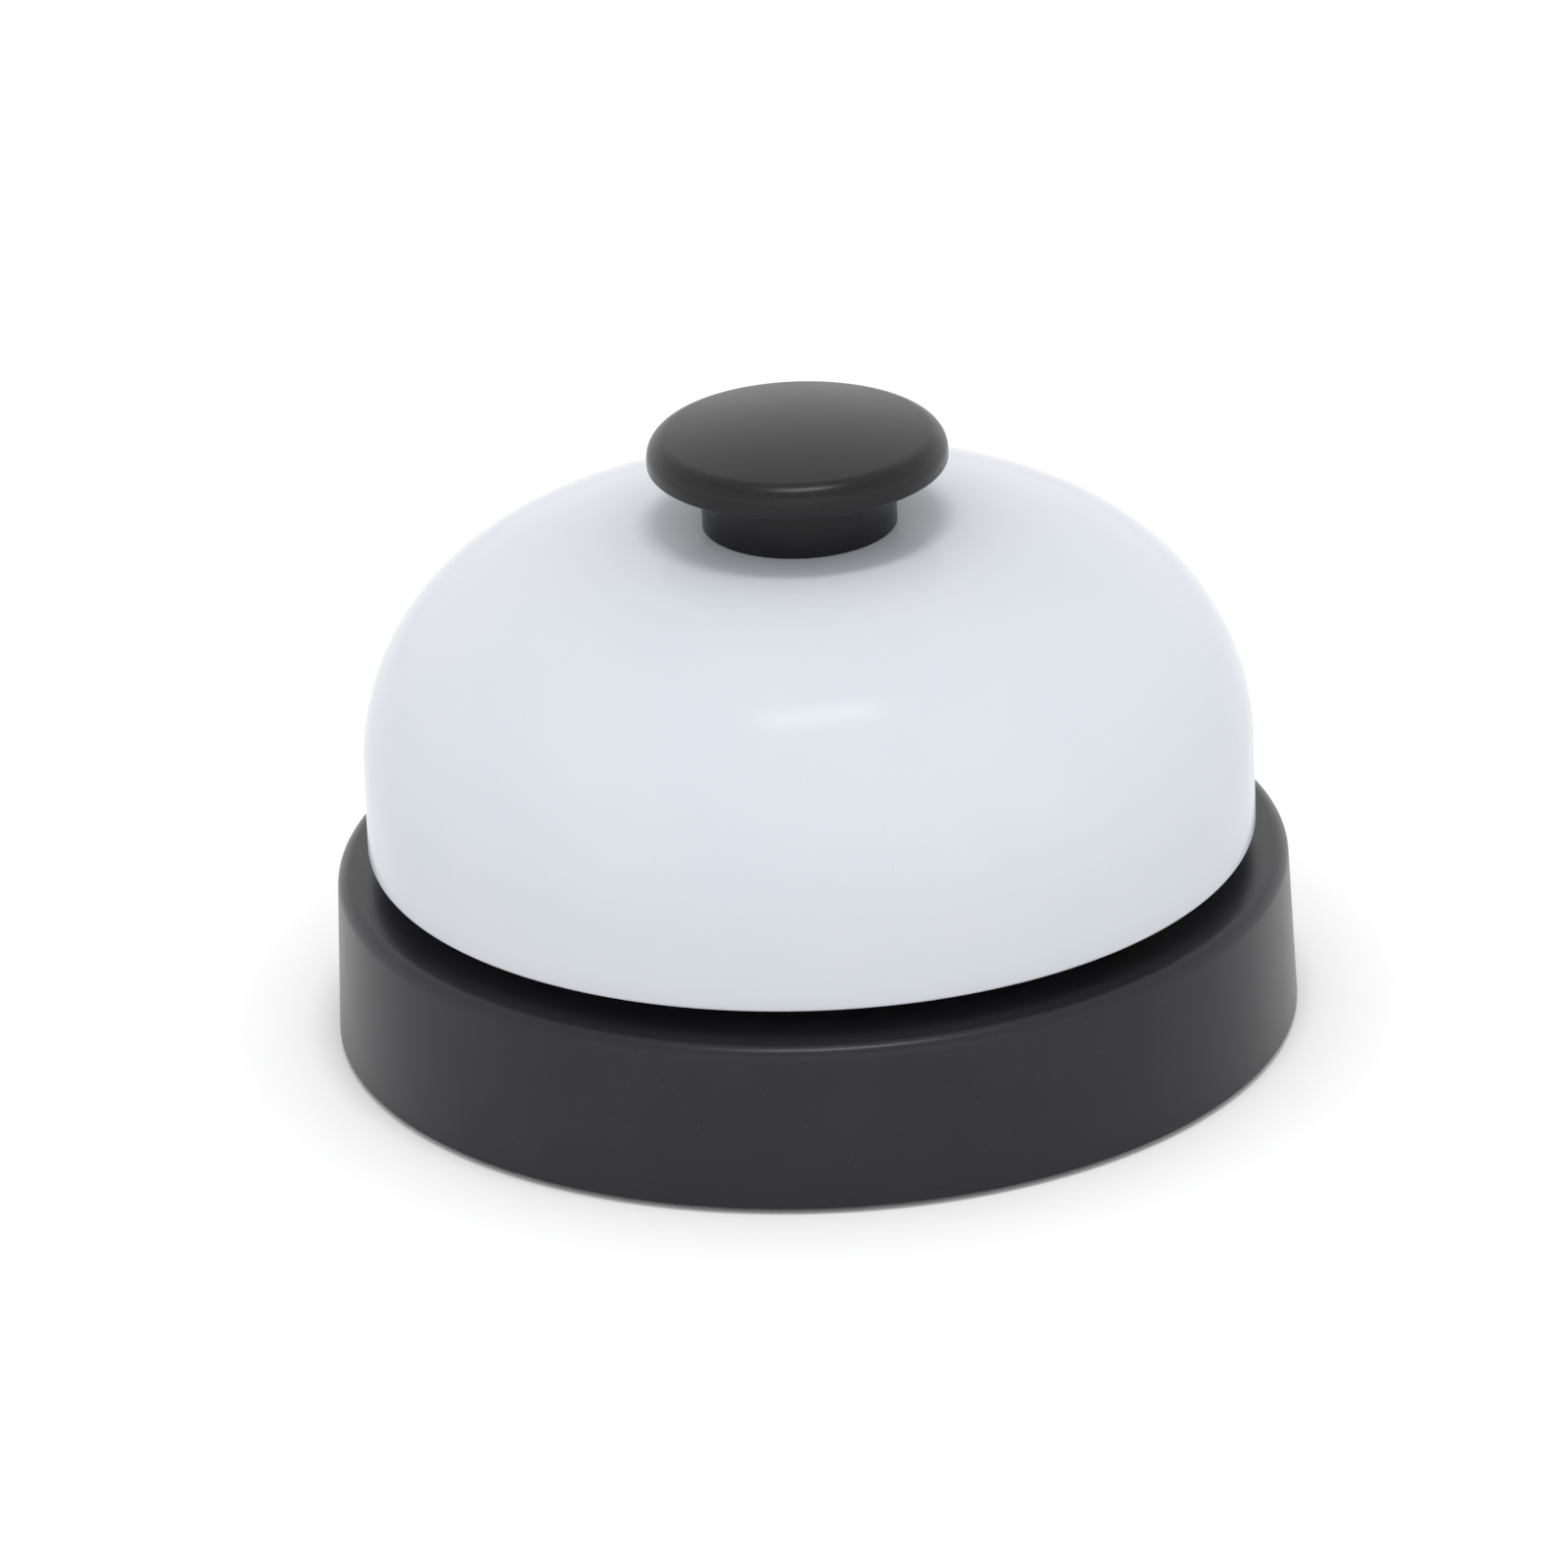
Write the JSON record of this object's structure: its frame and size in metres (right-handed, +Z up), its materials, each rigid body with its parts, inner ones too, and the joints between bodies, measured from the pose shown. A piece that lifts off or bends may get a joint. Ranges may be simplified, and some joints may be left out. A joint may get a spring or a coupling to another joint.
{
  "type": "service bell",
  "caption": "Desk service bell: white enamelled dome over a round black base, push button on top, coupled lever and hammer inside, free standing on a rubber foot ring.",
  "frame": {"origin": "centre of the footprint, on the surface the bell stands on", "axes": "+Z up along the dome's and button's axis; +X from the axis towards the hammer"},
  "size_m": [0.085, 0.085, 0.0562],
  "materials": {
    "black_abs": "satin",
    "button_abs": "semi-gloss",
    "zinc_steel": "zinc plated",
    "plated_steel": "nickel plated",
    "spring_steel": "bright wire",
    "rivet_aluminium": "satin",
    "dome_enamel": "gloss enamel",
    "hammer_brass": "turned",
    "insert_brass": "turned",
    "foot_rubber": "matte",
    "washer_rubber": "matte",
    "nylon": "natural"
  },
  "bodies": {
    "bell": {"base_shell": "black_abs", "base_plate": "zinc_steel", "foot_ring": "foot_rubber", "base_screws": "zinc_steel", "mechanism_bracket": "zinc_steel", "bracket_rivets": "rivet_aluminium", "threaded_post": "plated_steel", "post_lock_washer": "zinc_steel", "dome_seat_nut": "plated_steel", "dome_lower_washer": "washer_rubber", "bell_dome": "dome_enamel", "dome_upper_washer": "washer_rubber", "collar_nut": "button_abs", "collar_insert": "insert_brass", "return_spring": "spring_steel", "pivot_pin": "plated_steel", "pin_clips": "spring_steel", "thrust_washers": "nylon", "lever_bumper": "foot_rubber"},
    "button": {"button_cap": "button_abs", "plunger_rod": "plated_steel", "rod_clip": "plated_steel"},
    "hammer": {"hammer_lever": "zinc_steel", "hammer_head": "hammer_brass", "hammer_screw": "zinc_steel"}
  },
  "joints": [
    {"name": "button_press", "type": "slide", "parent": "bell", "child": "button", "axis": [0, 0, -1], "range_m": [0, 0.0028], "stiffness_N_per_m": 400, "springref_m": -0.004, "deforming": ["return_spring"]},
    {"name": "hammer_swing", "type": "hinge", "parent": "bell", "child": "hammer", "pos_m": [0.0058, 0, 0.0225], "axis": [0, -1, 0], "range_deg": [0, 27.2]}
  ],
  "couplings": [
    {"joint": "hammer_swing", "follows": "button_press", "rad_per_m": 169.18}
  ]
}
